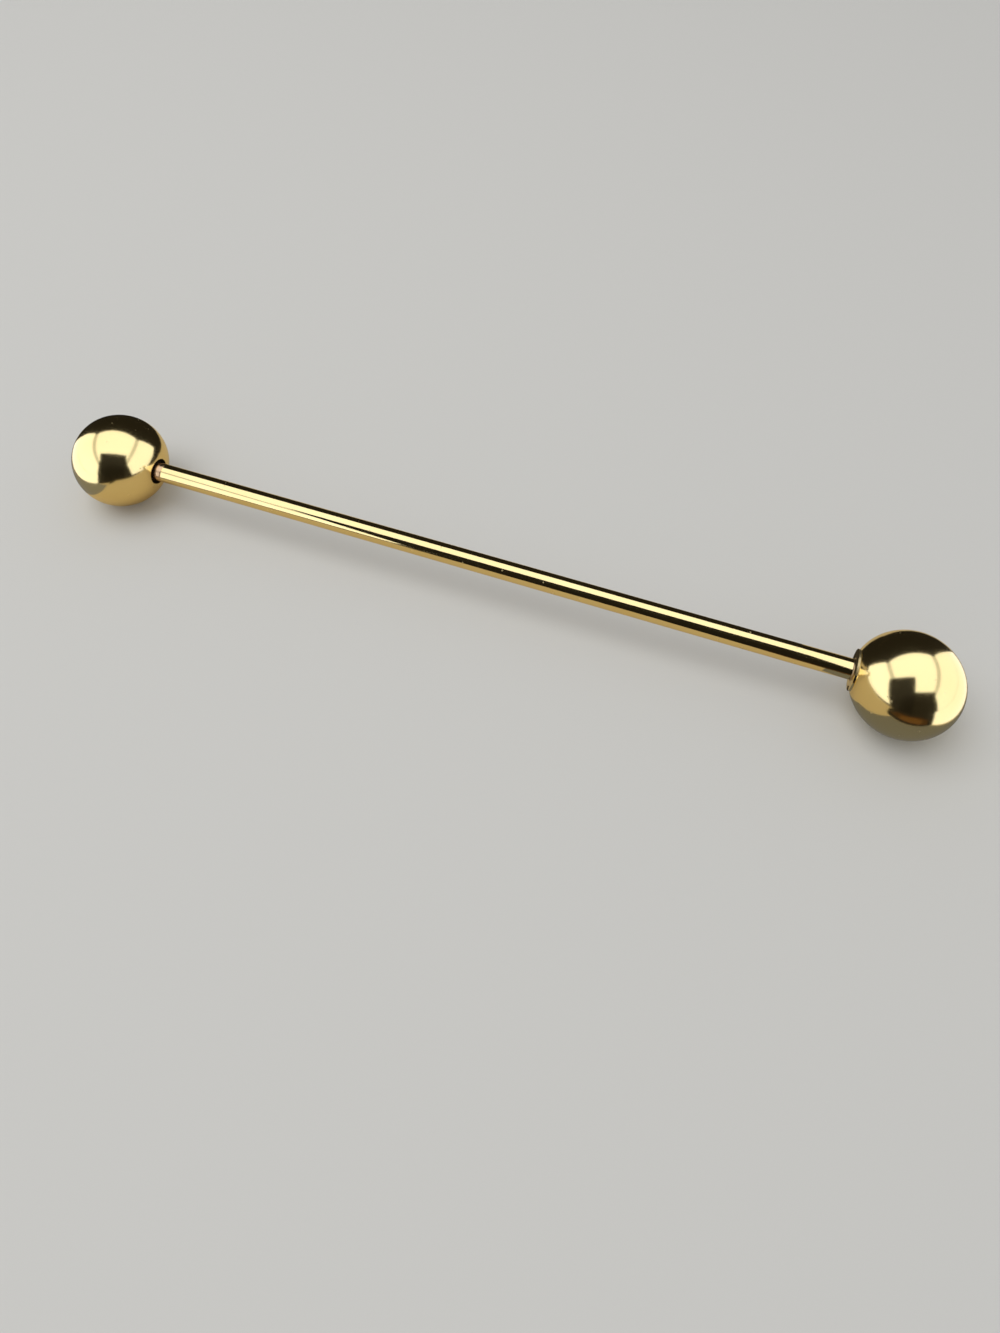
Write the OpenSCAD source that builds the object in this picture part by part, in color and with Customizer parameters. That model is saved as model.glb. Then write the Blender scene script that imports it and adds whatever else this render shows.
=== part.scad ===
// Collar bar of the barbell kind: a straight round rod that passes under the knot of a tie, with a
// ball soldered to one end and a ball that screws off the other end, so that the rod can go through
// the eyelets of a collar. Millimetres. The rod lies along X, the soldered ball is at the +X end,
// and the origin is half way between the two balls.

/* [Balls] */
// Diameter of each ball
ball_d = 6; // [5:0.1:8]
// Distance between the centres of the balls
centre_distance = 50; // [30:1:90]

/* [Rod] */
// Diameter of the rod
rod_d = 1.2; // [1.1:0.05:1.4]

/* [Screw end] */
// Outer diameter of the thread on the rod's end
thread_d = 0.9; // [0.8:0.05:0.9]
// Rise of the thread in one turn
thread_pitch = 0.225; // [0.2:0.005:0.25]
// Turns of the thread that the ball holds
turns_held = 10; // [6:1:11]
// Radial room between the rod's thread and the ball's thread
thread_room = 0.035; // [0.03:0.005:0.04]
// Diameter of the round recess in the ball that the spacer ring sits in
recess_d = 1.64; // [1.6:0.02:2]
// Length of the spacer ring between the rod's shoulder and the ball
ring_length = 0.84; // [0.7:0.02:1]
// How far the spacer ring stands out of the ball
ring_proud = 0.36; // [0.2:0.02:0.4]

/* [Soldered end] */
// Diameter of the low turned boss on the ball, round the rod
boss_d = 2.4; // [1.9:0.1:2.8]
// Distance from the ball's centre to the boss's flat face
boss_height = 2.88; // [2.84:0.01:2.95]
// Diameter of the rod's turned tenon inside the ball
tenon_d = 0.8; // [0.6:0.05:1]
// Length of that tenon
tenon_length = 1.9; // [1.2:0.1:2.2]
// Thickness of the solder between the rod and the ball
solder_film = 0.04; // [0.02:0.01:0.08]
// Size of the solder's fillet where the rod meets the boss
solder_fillet = 0.08; // [0.05:0.01:0.15]

/* [Hidden] */
$fn = 96;
gold = [0.86, 0.72, 0.40];
copper_gold = [0.80, 0.60, 0.38];
cut = 0.5;                                     // how far a cutting tool runs past the face it cuts
edge = 0.03;                                   // width of the small bevels on turned edges
ball_r = ball_d / 2;
rod_r = rod_d / 2;
ball_x = centre_distance / 2;

// Screw end: measured from the rod's shoulder, outwards to -X
shoulder_x = ball_x - ball_r - ring_proud;     // how far the shoulder is from the origin
ball_centre_from_shoulder = ball_x - shoulder_x;
thread_depth = 0.5413 * thread_pitch;          // depth of the ISO basic profile
thread_root_r = thread_d / 2 - thread_depth;
crest_part = 1 / 16;                           // half the crest's flat, in pitches
root_part = 3 / 8;                             // where the flank meets the root, in pitches
undercut = 0.18;                               // plain neck between the shoulder and the thread
spigot_length = ring_length + turns_held * thread_pitch;
points_around = 16;                            // facets of the thread in one turn
rings_per_turn = 8;                            // rings of points in one pitch
ring_step = thread_pitch / rings_per_turn;
drill_tail = 0.35;                             // plain drilled hole past the thread's end
drill_point = 0.2;                             // depth of the drill's cone
ring_bore_room = 0.03;                         // radial room between the spacer ring and the thread
ring_crown = 0.004;                            // how much fuller the ring is half way along

// Soldered end: distances along X from the origin
boss_r = boss_d / 2;
boss_x = ball_x - boss_height;                 // the boss's flat face
shank_end_x = boss_x - solder_film;
tenon_r = tenon_d / 2;
tenon_end_x = shank_end_x + tenon_length;
hole_end_x = tenon_end_x + solder_film;
hole_r = tenon_r + solder_film;

function clamp01(t) = max(0, min(1, t));

// Radius of a right-hand thread at height z and angle a, for a crest at crest_r
function thread_radius(z, a, crest_r) =
    let (turn = z / thread_pitch - a / 360,
         off_crest = abs(turn - round(turn)))
    crest_r - thread_depth * clamp01((off_crest - crest_part) / (root_part - crest_part));

// Parts that lie along the rod: z runs to +X, or from the shoulder out to -X
module along_x() rotate([0, 90, 0]) children();
module from_shoulder() translate([-shoulder_x, 0, 0]) rotate([0, -90, 0]) children();
module turned(profile) rotate_extrude() polygon(profile);

// Solid inside a screw thread from z_start to z_end. It is cut down to the root before z_plain, and
// bevelled at its end when bevelled_end is true.
module thread_solid(z_start, z_end, crest_r, z_plain, bevelled_end) {
    root_r = crest_r - thread_depth;
    rings = round((z_end - z_start) / ring_step);
    points = [for (i = [0:rings], k = [0:points_around - 1])
        let (z = z_start + i * (z_end - z_start) / rings,
             a = 360 * k / points_around,
             end_limit = bevelled_end ? root_r + (z_end - z) : crest_r,
             r = z < z_plain ? root_r : min(thread_radius(z, a, crest_r), end_limit))
        [r * cos(a), r * sin(a), z]];
    function at(i, k) = i * points_around + k % points_around;
    sides = [for (i = [0:rings - 1], k = [0:points_around - 1])
        each [[at(i, k), at(i + 1, k), at(i + 1, k + 1)], [at(i, k), at(i + 1, k + 1), at(i, k + 1)]]];
    bottom = [for (k = [0:points_around - 1]) at(0, k)];
    top = [for (k = [points_around - 1:-1:0]) at(rings, k)];
    polyhedron(points, concat(sides, [bottom, top]));
}

// One piece of drawn brass wire: the shank, a thinner threaded end and a tenon for the soldered ball
module rod() {
    color(gold) {
        along_x() turned([
            [0, -shoulder_x],
            [rod_r - edge, -shoulder_x],
            [rod_r, -shoulder_x + edge],
            [rod_r, shank_end_x],
            [tenon_r, shank_end_x],
            [tenon_r, tenon_end_x - edge],
            [tenon_r - edge, tenon_end_x],
            [0, tenon_end_x]]);
        from_shoulder() thread_solid(-ring_step * 4, spigot_length, thread_d / 2, undercut, true);
    }
}

// Solid brass ball with a low flat-faced boss round a blind hole for the tenon
module fixed_ball() {
    color(gold) difference() {
        union() {
            translate([ball_x, 0, 0]) sphere(r = ball_r);
            along_x() turned([
                [0, boss_x],
                [boss_r - edge, boss_x],
                [boss_r, boss_x + edge],
                [boss_r, ball_x],
                [0, ball_x]]);
        }
        along_x() translate([0, 0, boss_x - cut]) cylinder(r = boss_r, h = cut);
        along_x() translate([0, 0, boss_x - cut]) cylinder(r = hole_r, h = hole_end_x - boss_x + cut);
    }
}

// Hard solder: a film round the tenon and under the shank's end, and a small hollow fillet outside
module solder_joint() {
    fillet_arc = [for (a = [0:15:90]) [
        rod_r + solder_fillet * (1 - cos(a)),
        boss_x - solder_fillet * (1 - sin(a))]];
    color(copper_gold) along_x() turned(concat(fillet_arc, [
        [hole_r, boss_x],
        [hole_r, hole_end_x],
        [0, hole_end_x],
        [0, tenon_end_x],
        [tenon_r - edge, tenon_end_x],
        [tenon_r, tenon_end_x - edge],
        [tenon_r, shank_end_x],
        [rod_r, shank_end_x]]));
}

// Loose, slightly crowned ring as thick as the rod, round the start of the thread and half sunk in
// the ball's recess
module spacer_ring() {
    bore_r = thread_d / 2 + ring_bore_room;
    color(copper_gold) from_shoulder() turned([
        [bore_r, 0],
        [rod_r - edge, 0],
        [rod_r - ring_crown, edge],
        [rod_r, ring_length / 2],
        [rod_r - ring_crown, ring_length - edge],
        [rod_r - edge, ring_length],
        [bore_r, ring_length]]);
}

// Solid brass ball, drilled and tapped, with a round recess at the mouth of the hole
module screw_ball() {
    recess_r = recess_d / 2;
    thread_end = spigot_length + ring_step * 2;
    mouth_z = ball_centre_from_shoulder - sqrt(ball_r * ball_r - recess_r * recess_r);
    color(gold) from_shoulder() difference() {
        translate([0, 0, ball_centre_from_shoulder]) sphere(r = ball_r);
        translate([0, 0, -cut]) cylinder(r = recess_r, h = ring_length + cut);
        translate([0, 0, mouth_z - cut + edge])
            cylinder(r1 = recess_r + cut, r2 = recess_r, h = cut);
        thread_solid(ring_length - ring_step * 2, thread_end, thread_d / 2 + thread_room, 0, false);
        translate([0, 0, thread_end - ring_step]) cylinder(r = thread_root_r, h = drill_tail);
        translate([0, 0, thread_end - ring_step + drill_tail])
            cylinder(r1 = thread_root_r, r2 = 0, h = drill_point);
    }
}

rod();
fixed_ball();
solder_joint();
spacer_ring();
screw_ball();
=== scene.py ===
import math
import bmesh
import bpy
from mathutils import Matrix, Vector


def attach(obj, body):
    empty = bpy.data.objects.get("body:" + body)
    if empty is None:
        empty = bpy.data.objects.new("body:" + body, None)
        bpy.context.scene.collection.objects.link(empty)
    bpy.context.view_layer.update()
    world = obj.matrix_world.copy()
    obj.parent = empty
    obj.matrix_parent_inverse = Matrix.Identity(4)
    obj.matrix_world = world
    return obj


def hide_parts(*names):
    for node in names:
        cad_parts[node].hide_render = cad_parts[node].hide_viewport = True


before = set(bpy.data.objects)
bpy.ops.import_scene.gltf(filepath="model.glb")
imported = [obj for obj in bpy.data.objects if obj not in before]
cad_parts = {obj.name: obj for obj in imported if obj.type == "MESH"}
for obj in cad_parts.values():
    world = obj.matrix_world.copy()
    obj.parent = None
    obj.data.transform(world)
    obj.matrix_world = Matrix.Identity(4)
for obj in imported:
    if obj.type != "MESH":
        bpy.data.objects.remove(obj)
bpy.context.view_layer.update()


# Rod
# One piece of round wire, polished and gold-plated. One end is turned down and cut with a fine
# right-hand thread beyond a square shoulder, the other has a plain tenon for the soldered ball.
# An extra ring at EVEN_FROM keeps the shading of the soft shoulder edge off the long shank.
MM = 0.001
ROUND = 160
SHARP = math.radians(28)
ROD_R = 0.6
SHOULDER_X = -21.64
SHANK_END_X = 22.08
TENON_R = 0.4
TENON_END_X = 23.98
THREAD_CORE_R = 0.328
THREAD_CREST_R = 0.45
PITCH = 0.225
STEPS_A_TURN = 48
ROD_TURNS = 12
ROD_FOOT = 0.385 * PITCH
ROD_CREST = 0.0625 * PITCH
ROOTED = 0.02
SPIGOT = 3.09
TIP_BEVEL = 0.08
FINE_EDGE = 0.02
EVEN_FROM = 0.06
NEAR = 1e-4
TOUCHING = 1e-5


def across_rod(x):
    """The placing of a shape that is round about Z so that it is round about the bar's axis at x."""
    return Matrix.Translation((x, 0, 0)) @ Matrix.Rotation(math.pi / 2, 4, "Y")


def first_ring(shape, x, r):
    """A circle of edges round the bar's axis at x."""
    made = bmesh.ops.create_circle(shape, segments=ROUND, radius=r, matrix=across_rod(x))
    return list({e for v in made["verts"] for e in v.link_edges})


def carry_on(shape, ring, stations):
    """Extrudes a ring of edges through stations of (x, radius), as a lathe tool follows a profile."""
    for x, r in stations:
        grown = bmesh.ops.extrude_edge_only(shape, edges=ring)["geom"]
        corners = [g for g in grown if isinstance(g, bmesh.types.BMVert)]
        new = set(corners)
        old_x = corners[0].co.x
        scale = r / math.hypot(corners[0].co.y, corners[0].co.z)
        bmesh.ops.scale(shape, vec=(1, scale, scale), verts=corners)
        bmesh.ops.translate(shape, vec=(x - old_x, 0, 0), verts=corners)
        ring = [g for g in grown if isinstance(g, bmesh.types.BMEdge) and set(g.verts) <= new]
    return ring


def close_end(shape, ring):
    """Fills a ring with one flat face."""
    bmesh.ops.contextual_create(shape, geom=ring)


def screw_thread(shape, first_z, turns, base_r, base_half, top_r, top_half):
    """Sweeps a tooth along a right-hand helix from first_z out from the shoulder. The two halves are
    half the tooth's width at its base and at its top."""
    tooth = [(-base_half, base_r), (-top_half, top_r), (top_half, top_r), (base_half, base_r)]
    corners = [shape.verts.new((SHOULDER_X - first_z - z, 0, r)) for z, r in tooth]
    start = shape.faces.new(corners)
    steps = round(turns * STEPS_A_TURN)
    bmesh.ops.spin(shape, geom=[start, *start.edges, *start.verts], cent=(0, 0, 0), axis=(-1, 0, 0),
                   dvec=(-PITCH / STEPS_A_TURN, 0, 0), angle=math.tau * turns, steps=steps,
                   use_merge=False, use_duplicate=False)


def soften(shape, places, width):
    """Bevels the sharp rings at the places given as (x, radius), with three small facets."""
    def at(edge):
        return any(all(abs(v.co.x - x) < NEAR and abs(math.hypot(v.co.y, v.co.z) - r) < NEAR
                       for v in edge.verts) for x, r in places)
    bmesh.ops.bevel(shape, geom=[e for e in shape.edges if at(e)], offset=width, segments=3,
                    profile=0.5, affect="EDGES", material=-1)


def finish_piece(shape, name, body, node, slot, *finishes):
    """Turns millimetres to metres, marks the hard edges and puts the piece on its body."""
    bmesh.ops.remove_doubles(shape, verts=shape.verts, dist=TOUCHING)
    bmesh.ops.recalc_face_normals(shape, faces=shape.faces)
    for face in shape.faces:
        face.smooth = True
    for edge in shape.edges:
        edge.smooth = edge.calc_face_angle(0) < SHARP
    bmesh.ops.scale(shape, vec=(MM, MM, MM), verts=shape.verts)
    mesh = bpy.data.meshes.new(name)
    shape.to_mesh(mesh)
    shape.free()
    for finish in finishes:
        mesh.materials.append(finish)
    piece = bpy.data.objects.new(name, mesh)
    bpy.context.scene.collection.objects.link(piece)
    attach(piece, body)
    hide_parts(node)
    return piece


def metal(name, light, deep, rough_low, rough_high, scratch_size, scratch_depth):
    """Metal with a faint drift between two tones, fine scratches in gloss and relief, and dull specks."""
    finish = bpy.data.materials.new(name)
    finish.use_nodes = True
    nodes, links = finish.node_tree.nodes, finish.node_tree.links
    shader = nodes["Principled BSDF"]
    shader.inputs["Metallic"].default_value = 1.0
    place = nodes.new("ShaderNodeTexCoord")

    drift = nodes.new("ShaderNodeTexNoise")
    drift.inputs["Scale"].default_value = 260.0
    drift.inputs["Detail"].default_value = 3.0
    tones = nodes.new("ShaderNodeValToRGB")
    tones.color_ramp.elements[0].position = 0.35
    tones.color_ramp.elements[0].color = (*deep, 1)
    tones.color_ramp.elements[1].position = 0.65
    tones.color_ramp.elements[1].color = (*light, 1)
    links.new(place.outputs["Object"], drift.inputs["Vector"])
    links.new(drift.outputs["Fac"], tones.inputs["Fac"])
    links.new(tones.outputs["Color"], shader.inputs["Base Color"])

    stretch = nodes.new("ShaderNodeMapping")
    stretch.inputs["Scale"].default_value = scratch_size
    hairs = nodes.new("ShaderNodeTexNoise")
    hairs.inputs["Scale"].default_value = 1.0
    hairs.inputs["Detail"].default_value = 5.0
    hairs.inputs["Roughness"].default_value = 0.65
    rub = nodes.new("ShaderNodeMapRange")
    rub.inputs["From Min"].default_value = 0.40
    rub.inputs["From Max"].default_value = 0.75
    rub.inputs["To Min"].default_value = rough_low
    rub.inputs["To Max"].default_value = rough_high
    relief = nodes.new("ShaderNodeBump")
    relief.inputs["Strength"].default_value = scratch_depth
    relief.inputs["Distance"].default_value = 0.00001
    links.new(place.outputs["Object"], stretch.inputs["Vector"])
    links.new(stretch.outputs["Vector"], hairs.inputs["Vector"])
    links.new(hairs.outputs["Fac"], rub.inputs["Value"])

    cells = nodes.new("ShaderNodeTexVoronoi")
    cells.inputs["Scale"].default_value = 1300.0
    speck = nodes.new("ShaderNodeMapRange")
    speck.inputs["From Min"].default_value = 0.05
    speck.inputs["From Max"].default_value = 0.11
    speck.inputs["To Min"].default_value = 0.45
    speck.inputs["To Max"].default_value = 0.0
    duller = nodes.new("ShaderNodeMath")
    duller.operation = "MAXIMUM"
    links.new(place.outputs["Object"], cells.inputs["Vector"])
    links.new(cells.outputs["Distance"], speck.inputs["Value"])
    links.new(speck.outputs["Result"], duller.inputs[0])
    links.new(rub.outputs["Result"], duller.inputs[1])
    links.new(duller.outputs["Value"], shader.inputs["Roughness"])
    links.new(hairs.outputs["Fac"], relief.inputs["Height"])
    links.new(relief.outputs["Normal"], shader.inputs["Normal"])
    return finish


rod_gold = metal("rod_gold", (0.96, 0.80, 0.43), (0.93, 0.76, 0.39), 0.05, 0.11,
                 (600.0, 9000.0, 9000.0), 0.08)
rod = bmesh.new()
ring = first_ring(rod, SHOULDER_X - SPIGOT, THREAD_CORE_R - TIP_BEVEL)
close_end(rod, ring)
ring = carry_on(rod, ring, [
    (SHOULDER_X - SPIGOT + TIP_BEVEL, THREAD_CORE_R),
    (SHOULDER_X, THREAD_CORE_R),
    (SHOULDER_X, ROD_R),
    (SHOULDER_X + EVEN_FROM, ROD_R),
    (SHANK_END_X, ROD_R),
    (SHANK_END_X, TENON_R),
    (TENON_END_X, TENON_R)])
close_end(rod, ring)
soften(rod, [(SHOULDER_X, ROD_R), (TENON_END_X, TENON_R)], FINE_EDGE)
screw_thread(rod, PITCH, ROD_TURNS, THREAD_CORE_R - ROOTED, ROD_FOOT, THREAD_CREST_R, ROD_CREST)
finish_piece(rod, "rod_polished", "bar", "rod", "polished_gold", rod_gold)


# Soldered ball
# A solid turned brass ball, polished and plated, with a low flat-faced boss round a blind hole for
# the rod's tenon. Over its upper and back part the boss's face is painted near-black and its side a
# darker, duller gold, which is painted shade where the rod meets the boss, and one small spot near
# the rim at the lower front is painted shade too. Both places are given in degrees round the rod
# from the top.
BALL_R = 3.0
BALL_X = 25.0
BOSS_R = 1.2
BOSS_HEIGHT = 2.88
BOSS_X = BALL_X - BOSS_HEIGHT
HOLE_R = 0.44
HOLE_END_X = 24.02
SPOT_R = 0.92
# The next two are turns round the rod, from the top: where the boss is given painted shade, and one small
# spot of painted shade.
SHADED_TURN = (-50, 125)
SHADE_SPOT_TURN = (-142, -112)
# Material slots: 1 is a near-black paint for painted shade, 2 a darker, duller gold whose darkness is
# painted shade too.
PAINTED_SHADE = 1
SATIN_AND_SHADE = 2
MARGIN = 0.01


def cut_ball(shape, centre_x, cut_x, keep):
    """A ball with its pole on the rod, cut off square at cut_x, that keeps the side that keep points
    to. Returns the ring of the cut."""
    bmesh.ops.create_uvsphere(shape, u_segments=ROUND, v_segments=ROUND // 2, radius=BALL_R,
                              matrix=across_rod(centre_x))
    bmesh.ops.bisect_plane(shape, geom=[*shape.verts, *shape.edges, *shape.faces],
                           plane_co=(cut_x, 0, 0), plane_no=(keep, 0, 0), clear_inner=True)
    return [e for e in shape.edges if e.is_boundary]


ball_gold = metal("ball_gold", (0.96, 0.80, 0.43), (0.93, 0.76, 0.39), 0.12, 0.18,
                  (5200.0, 6800.0, 6000.0), 0.05)
# A darker, duller gold for part of the boss's side: the satin gloss is a finish, its darkness is painted
# shade.
satin_and_shade_gold = metal("satin_and_shade_gold", (0.62, 0.50, 0.27), (0.50, 0.40, 0.21), 0.34, 0.50,
                   (9000.0, 3000.0, 3000.0), 0.20)
# A near-black, dull, unmetallic paint for painted shade where the rod meets the boss and inside the screw
# ball's recess.
painted_shade_brass = metal("painted_shade_brass", (0.050, 0.036, 0.014), (0.025, 0.018, 0.008), 0.60, 0.80,
                      (4000.0, 9000.0, 9000.0), 0.20)
shade_paint = painted_shade_brass.node_tree.nodes["Principled BSDF"]
shade_paint.inputs["Metallic"].default_value = 0.0
shade_paint.inputs["Specular IOR Level"].default_value = 0.05


def recolour_faces(shape, which, along, radius, turn=(-180, 180)):
    """Gives faces in a range along the bar, of radius and of turn from the top, another material."""
    for face in shape.faces:
        middle = face.calc_center_median()
        r = math.hypot(middle.y, middle.z)
        degrees = math.degrees(math.atan2(middle.y, middle.z))
        inside = along[0] < middle.x < along[1] and radius[0] < r < radius[1]
        if inside and turn[0] <= degrees <= turn[1]:
            face.material_index = which


fixed = bmesh.new()
boss_root_x = BALL_X - math.sqrt(BALL_R ** 2 - BOSS_R ** 2)
ring = cut_ball(fixed, BALL_X, boss_root_x, 1)
ring = carry_on(fixed, ring, [
    (boss_root_x, BOSS_R),
    (BOSS_X, BOSS_R),
    (BOSS_X, SPOT_R),
    (BOSS_X, HOLE_R),
    (HOLE_END_X, HOLE_R)])
close_end(fixed, ring)
soften(fixed, [(BOSS_X, BOSS_R)], FINE_EDGE)
boss_face = (BOSS_X - MARGIN, BOSS_X + FINE_EDGE / 2)
boss_side = (boss_face[1], boss_root_x)
# Painted shade on the upper and back part of the boss's face and side, and on one small spot near the
# face's rim.
recolour_faces(fixed, PAINTED_SHADE, boss_face, (ROD_R, BOSS_R), SHADED_TURN)
recolour_faces(fixed, PAINTED_SHADE, boss_face, (SPOT_R, BOSS_R), SHADE_SPOT_TURN)
recolour_faces(fixed, SATIN_AND_SHADE, boss_side, (BOSS_R - FINE_EDGE, BOSS_R + MARGIN), SHADED_TURN)
finish_piece(fixed, "soldered_ball", "bar", "fixed_ball", "polished_gold",
             ball_gold, painted_shade_brass, satin_and_shade_gold)


# Solder
# Hard solder that filled the gap round the tenon and drew out into a small hollow fillet where
# the rod meets the boss. It is duller and pinker than the brass, and browned by the heat.
FILLET = 0.08

solder_gold = metal("solder_gold", (0.48, 0.36, 0.22), (0.32, 0.23, 0.14), 0.30, 0.45,
                    (9000.0, 9000.0, 9000.0), 0.25)
solder = bmesh.new()
ring = first_ring(solder, SHANK_END_X, TENON_R)
fillet = [(BOSS_X - FILLET * (1 - math.sin(a)), ROD_R + FILLET * (1 - math.cos(a)))
          for a in (math.radians(d) for d in range(0, 91, 15))]
ring = carry_on(solder, ring, [
    (SHANK_END_X, ROD_R),
    *fillet,
    (BOSS_X, HOLE_R),
    (HOLE_END_X, HOLE_R)])
close_end(solder, ring)
inner = carry_on(solder, [e for e in solder.edges if e.is_boundary], [(TENON_END_X, TENON_R)])
close_end(solder, inner)
finish_piece(solder, "solder_fillet", "bar", "solder_joint", "solder", solder_gold)


# Spacer ring
# A loose brass ring as thick as the rod, sunk in the mouth of the screw ball. It is turned and
# not plated, so it is warmer and duller than the rod, and fine lines part it from both.
RING_LENGTH = 0.84
RING_BORE_R = 0.48
CROWN = 0.004

ring_brass = metal("ring_brass", (0.78, 0.58, 0.40), (0.64, 0.44, 0.28), 0.20, 0.34,
                   (30000.0, 900.0, 900.0), 0.20)
spacer = bmesh.new()
ring = first_ring(spacer, SHOULDER_X, RING_BORE_R)
start = ring
ring_end_x = SHOULDER_X - RING_LENGTH
ring = carry_on(spacer, ring, [
    (SHOULDER_X, ROD_R - CROWN),
    (SHOULDER_X - RING_LENGTH / 2, ROD_R),
    (ring_end_x, ROD_R - CROWN),
    (ring_end_x, RING_BORE_R)])
bmesh.ops.bridge_loops(spacer, edges=[*start, *ring])
soften(spacer, [(SHOULDER_X, ROD_R - CROWN), (ring_end_x, ROD_R - CROWN)], FINE_EDGE)
finish_piece(spacer, "spacer_ring_turned", "ring", "spacer_ring", "raw_brass", ring_brass)


# Screw ball
# A solid turned brass ball, polished and plated, drilled and tapped to fit the rod's thread. A
# wider recess at the mouth of the hole takes the spacer ring. The inside of the recess and of the
# hole is painted near-black as painted shade, and shows as a dark circle.
RECESS_R = 0.82
MOUTH_EDGE = 0.03
MOUTH_SOFT = 0.012
BORE_R = 0.485
BORE_END = 3.146
TAIL_R = 0.328
TAIL_END = 3.468
POINT_END = 3.668
POINT_R = 0.01
BALL_THREAD_FROM = 4.5 * PITCH
BALL_TURNS = 9
BALL_FOOT = 0.46 * PITCH
BALL_CREST = 0.125 * PITCH
THREAD_ROOM = 0.035

screw = bmesh.new()
mouth_x = -BALL_X + math.sqrt(BALL_R ** 2 - (RECESS_R + MOUTH_EDGE) ** 2)
ring = cut_ball(screw, -BALL_X, mouth_x, -1)
ring = carry_on(screw, ring, [
    (mouth_x, RECESS_R + MOUTH_EDGE),
    (mouth_x - MOUTH_EDGE, RECESS_R),
    (ring_end_x, RECESS_R),
    (ring_end_x, BORE_R),
    (SHOULDER_X - BORE_END, BORE_R),
    (SHOULDER_X - BORE_END, TAIL_R),
    (SHOULDER_X - TAIL_END, TAIL_R),
    (SHOULDER_X - POINT_END, POINT_R)])
close_end(screw, ring)
soften(screw, [(mouth_x, RECESS_R + MOUTH_EDGE), (mouth_x - MOUTH_EDGE, RECESS_R)], MOUTH_SOFT)
screw_thread(screw, BALL_THREAD_FROM, BALL_TURNS, BORE_R + ROOTED, BALL_FOOT,
             TAIL_R + THREAD_ROOM, BALL_CREST)
# The inside of the recess and of the hole gets the near-black paint, as painted shade.
inside_ball = (-BALL_X - BALL_R / 2, mouth_x - MOUTH_EDGE)
recolour_faces(screw, PAINTED_SHADE, inside_ball, (0, RECESS_R + MOUTH_EDGE / 2))
finish_piece(screw, "screw_off_ball", "end_ball", "screw_ball", "polished_gold",
             ball_gold, painted_shade_brass)


# Floor
# A plain pale floor that the two balls rest on. Reflections see it in a warmer, darker colour than
# the camera does, painted bounce light from the gold and painted shade, so that the undersides of
# the gold show a warm tan.
FLOOR_SIZE = 6.0
FLOOR_COLOUR = (0.66, 0.655, 0.63)
FLOOR_BOUNCE_AND_SHADE = (0.55, 0.45, 0.28)

floor_paint = bpy.data.materials.new("floor_paint")
floor_paint.use_nodes = True
nodes, links = floor_paint.node_tree.nodes, floor_paint.node_tree.links
paint = nodes["Principled BSDF"]
path = nodes.new("ShaderNodeLightPath")
# Glossy rays see the floor in a warmer, darker colour: painted bounce light from the gold and painted
# shade.
bounce_and_shade = nodes.new("ShaderNodeMix")
bounce_and_shade.data_type = "RGBA"
bounce_and_shade.inputs["A"].default_value = (*FLOOR_COLOUR, 1)
bounce_and_shade.inputs["B"].default_value = (*FLOOR_BOUNCE_AND_SHADE, 1)
links.new(path.outputs["Is Glossy Ray"], bounce_and_shade.inputs["Factor"])
links.new(bounce_and_shade.outputs["Result"], paint.inputs["Base Color"])
paint.inputs["Roughness"].default_value = 0.9
paint.inputs["Specular IOR Level"].default_value = 0.0
sheet = bmesh.new()
bmesh.ops.create_grid(sheet, x_segments=1, y_segments=1, size=FLOOR_SIZE,
                      matrix=Matrix.Translation((0, 0, -BALL_R * MM)))
floor_mesh = bpy.data.meshes.new("floor")
sheet.to_mesh(floor_mesh)
sheet.free()
floor_mesh.materials.append(floor_paint)
floor = bpy.data.objects.new("floor", floor_mesh)
bpy.context.scene.collection.objects.link(floor)


# Studio cards
# Soft white walls and a ceiling round the bar with dark openings between them, and cards that lie
# on the floor, which only the polished metal sees. They are laid out square to the line of sight.
TURN = Matrix.Rotation(math.radians(19.8), 4, "Z")
TENT = 400
SEAM = 52
FRONT = -1.25 * TENT
BACK = 0.70 * TENT
OPENING_WIDTH = 2.2 * TENT
BACK_OPENING_HEIGHT = 1.1 * TENT
FRONT_OPENING_HEIGHT = 1.4 * TENT
PAST_BACK = 12
PAST_FRONT = 8
CARD_STEP = 0.01
WHITE = (1.0, 1.0, 0.98)
DARK = (1.0, 0.86, 0.62)
GREY = (1.0, 0.98, 0.92)
BROWN = (1.0, 0.50, 0.16)
CEILING_GLOW = 1.27
LEFT_GLOW = 1.34
RIGHT_GLOW = 1.24
BACK_GLOW = 0.016
FRONT_GLOW = 0.02
NEAR_GLOW = 0.013
NEAR_WIDTH = 74
NEAR_HEIGHT = 166
NEAR_TILT = math.radians(49.6)
NEAR_ROLL = math.radians(3)
NEAR_START = Vector((1.4, -36.0, 46.2))
NEAR_LEFTWARD = 24
NEAR_DOWNWARD = 65
LEFT_BACK = (-33, 15)
LEFT_FRONT = (-33.3, -5.5)
BY_SCREW_BALL = (-28, -7.5)
RIGHT_BACK = (32, -2)
RIGHT_FRONT = (28, -17.5)
FAR_RIGHT = (340, FRONT)


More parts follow.
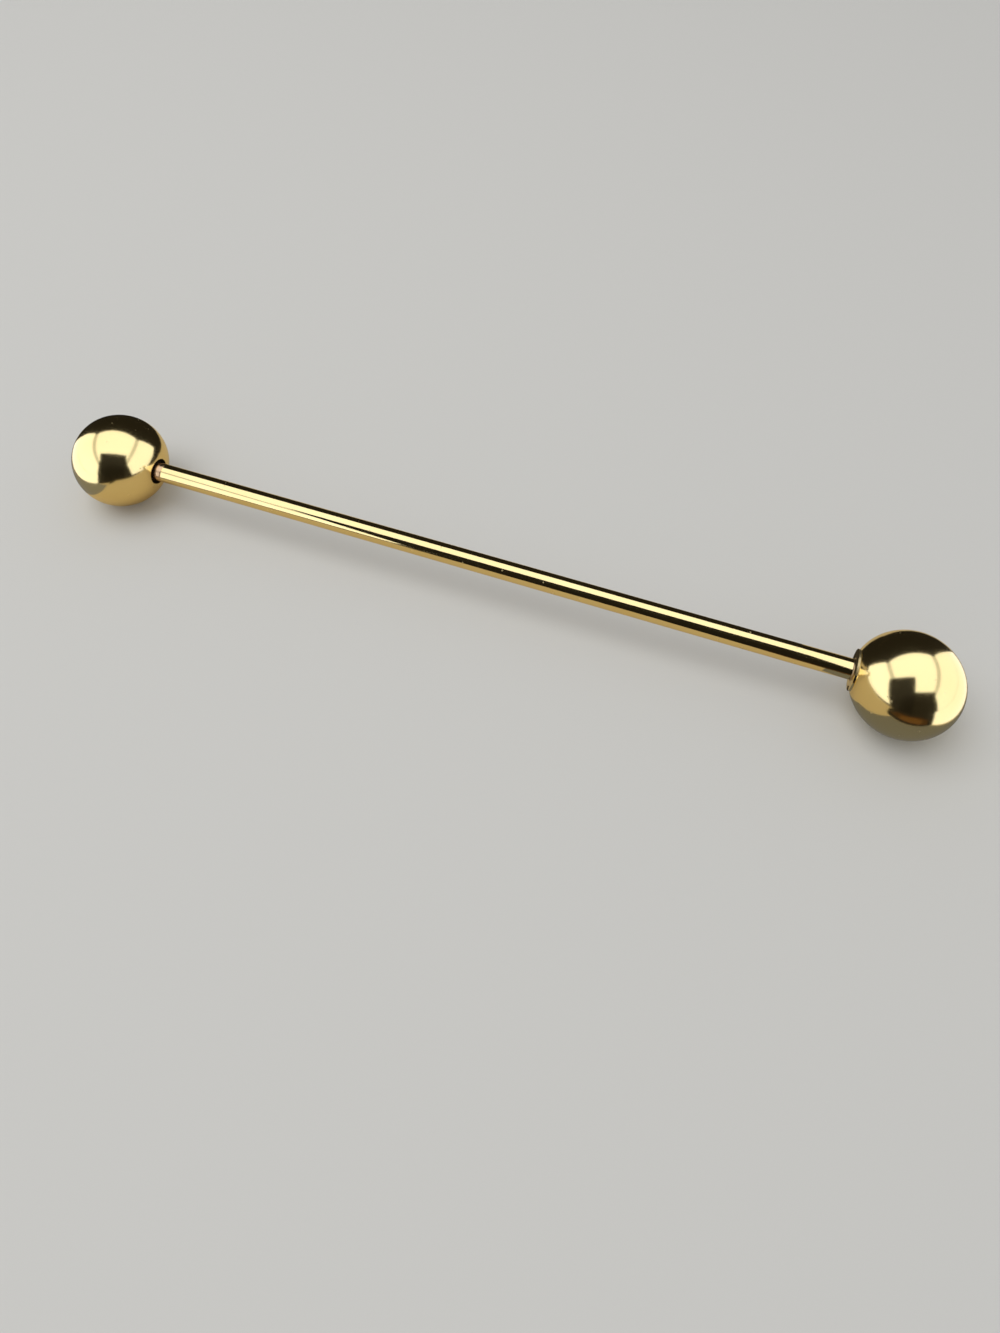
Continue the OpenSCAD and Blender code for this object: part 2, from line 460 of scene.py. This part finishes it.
def shining(name, shape, colour, strength):
    """Makes a flat shape, in millimetres, a card that shines evenly and shows only in reflections."""
    bmesh.ops.transform(shape, matrix=TURN, verts=shape.verts)
    bmesh.ops.scale(shape, vec=(MM, MM, MM), verts=shape.verts)
    mesh = bpy.data.meshes.new(name)
    shape.to_mesh(mesh)
    shape.free()
    paper = bpy.data.materials.new(name)
    paper.use_nodes = True
    nodes, links = paper.node_tree.nodes, paper.node_tree.links
    nodes.remove(nodes["Principled BSDF"])
    glow = nodes.new("ShaderNodeEmission")
    glow.inputs["Color"].default_value = (*colour, 1)
    glow.inputs["Strength"].default_value = strength
    links.new(glow.outputs["Emission"], nodes["Material Output"].inputs["Surface"])
    mesh.materials.append(paper)
    piece = bpy.data.objects.new(name, mesh)
    bpy.context.scene.collection.objects.link(piece)
    piece.visible_camera = False
    piece.visible_diffuse = False
    piece.visible_shadow = False


def standing_card(name, centre, across, upward, width, height, colour, strength):
    """A card round a centre, with its width along one direction and its height along another."""
    along_x, along_y = Vector(across).normalized(), Vector(upward).normalized()
    facing = Matrix((along_x, along_y, along_x.cross(along_y))).transposed().to_4x4()
    shape = bmesh.new()
    bmesh.ops.create_grid(shape, x_segments=1, y_segments=1, size=0.5)
    bmesh.ops.scale(shape, vec=(width, height, 1), verts=shape.verts)
    bmesh.ops.transform(shape, matrix=Matrix.Translation(centre) @ facing, verts=shape.verts)
    shining(name, shape, colour, strength)


def lying_card(name, corners, colour, strength, layer=1):
    """A card of any outline that lies on the floor, or on the layers of cards below it."""
    shape = bmesh.new()
    height = layer * CARD_STEP - BALL_R
    bmesh.ops.contextual_create(shape, geom=[shape.verts.new((x, y, height)) for x, y in corners])
    shining(name, shape, colour, strength)


depth = BACK - FRONT
middle = (BACK + FRONT) / 2
standing_card("white_ceiling", (0, (BACK - TENT) / 2, TENT), (1, 0, 0), (0, 1, 0),
              2 * (TENT - SEAM), BACK + TENT, WHITE, CEILING_GLOW)
standing_card("white_left", (-TENT, middle, (TENT - SEAM) / 2), (0, 1, 0), (0, 0, 1),
              depth, TENT - SEAM, WHITE, LEFT_GLOW)
standing_card("white_right", (TENT, middle, (TENT - SEAM) / 2), (0, -1, 0), (0, 0, 1),
              depth, TENT - SEAM, WHITE, RIGHT_GLOW)
standing_card("dark_back", (0, BACK + PAST_BACK, TENT / 2), (1, 0, 0), (0, 0, 1),
              OPENING_WIDTH, BACK_OPENING_HEIGHT, DARK, BACK_GLOW)
standing_card("dark_front", (0, FRONT - PAST_FRONT, TENT / 2), (-1, 0, 0), (0, 0, 1),
              OPENING_WIDTH, FRONT_OPENING_HEIGHT, DARK, FRONT_GLOW)
high = Vector((0, math.sin(NEAR_TILT), math.cos(NEAR_TILT)))
side = Vector((1, 0, 0))
near_middle = NEAR_START - NEAR_LEFTWARD * side - NEAR_DOWNWARD * high
standing_card("dark_near", near_middle, side * math.cos(NEAR_ROLL) - high * math.sin(NEAR_ROLL),
              high * math.cos(NEAR_ROLL) + side * math.sin(NEAR_ROLL),
              NEAR_WIDTH, NEAR_HEIGHT, DARK, NEAR_GLOW)

lying_card("white_low_left", [LEFT_BACK, LEFT_FRONT, (-TENT, FRONT), (-TENT, BACK)],
           WHITE, LEFT_GLOW)
lying_card("white_low_right", [RIGHT_BACK, (31, -8), RIGHT_FRONT, FAR_RIGHT, (TENT, FRONT),
                               (TENT, BACK)], WHITE, RIGHT_GLOW)
lying_card("dark_low_back", [LEFT_BACK, (-20, 18), (-9, 15), (-3, 9), (10, 3), (16, 0), (20.5, -1.6),
                             (24, 6), RIGHT_BACK, (TENT, BACK), (-TENT, BACK)], DARK, BACK_GLOW)
lying_card("dark_low_front", [LEFT_FRONT, BY_SCREW_BALL, (-28, -22), (-20, -50), (-8, -50), (0, -33),
                              (15, -17.8), RIGHT_FRONT, FAR_RIGHT, (-TENT, FRONT)],
           DARK, FRONT_GLOW)
lying_card("brown_low_front", [(12, -22), (27, -18.5), (30, -26), (28, -40), (6, -40)],
           BROWN, 0.06, 2)
lying_card("brown_low_middle", [(18, -21), (25.5, -19.5), (27, -26), (24, -34), (15, -30)],
           BROWN, 0.12, 3)
lying_card("grey_by_soldered_ball", [(17, -17.5), (27.5, -17.5), (30, -9), (30, -3), (25, -4),
                                     (19, -9)], GREY, 0.15)
lying_card("grey_by_screw_ball", [LEFT_BACK, LEFT_FRONT, BY_SCREW_BALL, (-27, 2), (-27, 15)],
           GREY, 0.21)


# Light
# Even light from all round, which the camera and the reflections see as a plain pale backdrop, and
# one large soft lamp above that doesn't show in the gold.
world = bpy.data.worlds.new("studio")
bpy.context.scene.world = world
world.use_nodes = True
nodes, links = world.node_tree.nodes, world.node_tree.links
around = nodes["Background"]
around.inputs["Color"].default_value = (1, 1, 1, 1)
around.inputs["Strength"].default_value = 0.55
seen = nodes.new("ShaderNodeBackground")
seen.inputs["Color"].default_value = (*FLOOR_COLOUR, 1)
seen.inputs["Strength"].default_value = 1.0
path = nodes.new("ShaderNodeLightPath")
either = nodes.new("ShaderNodeMath")
either.operation = "MAXIMUM"
any_of = nodes.new("ShaderNodeMath")
any_of.operation = "MAXIMUM"
mix = nodes.new("ShaderNodeMixShader")
links.new(path.outputs["Is Camera Ray"], either.inputs[0])
links.new(path.outputs["Is Glossy Ray"], either.inputs[1])
links.new(either.outputs["Value"], any_of.inputs[0])
links.new(path.outputs["Is Transmission Ray"], any_of.inputs[1])
links.new(any_of.outputs["Value"], mix.inputs["Fac"])
links.new(around.outputs["Background"], mix.inputs[1])
links.new(seen.outputs["Background"], mix.inputs[2])
links.new(mix.outputs["Shader"], nodes["World Output"].inputs["Surface"])

lamp = bpy.data.lights.new("soft_lamp", "AREA")
lamp.shape = "DISK"
lamp.size = 0.30
lamp.energy = 0.42
soft_lamp = bpy.data.objects.new("soft_lamp", lamp)
soft_lamp.location = (-0.10, -0.05, 0.30)
soft_lamp.rotation_euler = (Vector((0, 0, 0)) - soft_lamp.location).to_track_quat("-Z", "Y").to_euler()
soft_lamp.visible_glossy = False
bpy.context.scene.collection.objects.link(soft_lamp)


# Camera
# The photograph's place and direction: a wide lens close above the bar, a little to the right. The
# camera's own right, up and backward directions, and its place in metres, make up its matrix.
VIEW_RIGHT = (0.9410, 0.3383, 0.0)
VIEW_UP = (-0.2578, 0.7170, 0.6476)
VIEW_BACK = (0.2191, -0.6094, 0.7620)
VIEW_FROM = (0.01346, -0.03337, 0.04624)

lens = bpy.data.cameras.new("view")
lens.sensor_width = 36.0
lens.sensor_fit = "AUTO"
lens.lens = 26.3
lens.shift_y = -0.110
lens.clip_start = 0.001
lens.clip_end = 20.0
camera = bpy.data.objects.new("view", lens)
camera.matrix_world = Matrix((
    (*VIEW_RIGHT, 0),
    (*VIEW_UP, 0),
    (*VIEW_BACK, 0),
    (*VIEW_FROM, 1))).transposed()
bpy.context.scene.collection.objects.link(camera)
bpy.context.scene.camera = camera
bpy.context.scene.view_settings.view_transform = "Standard"
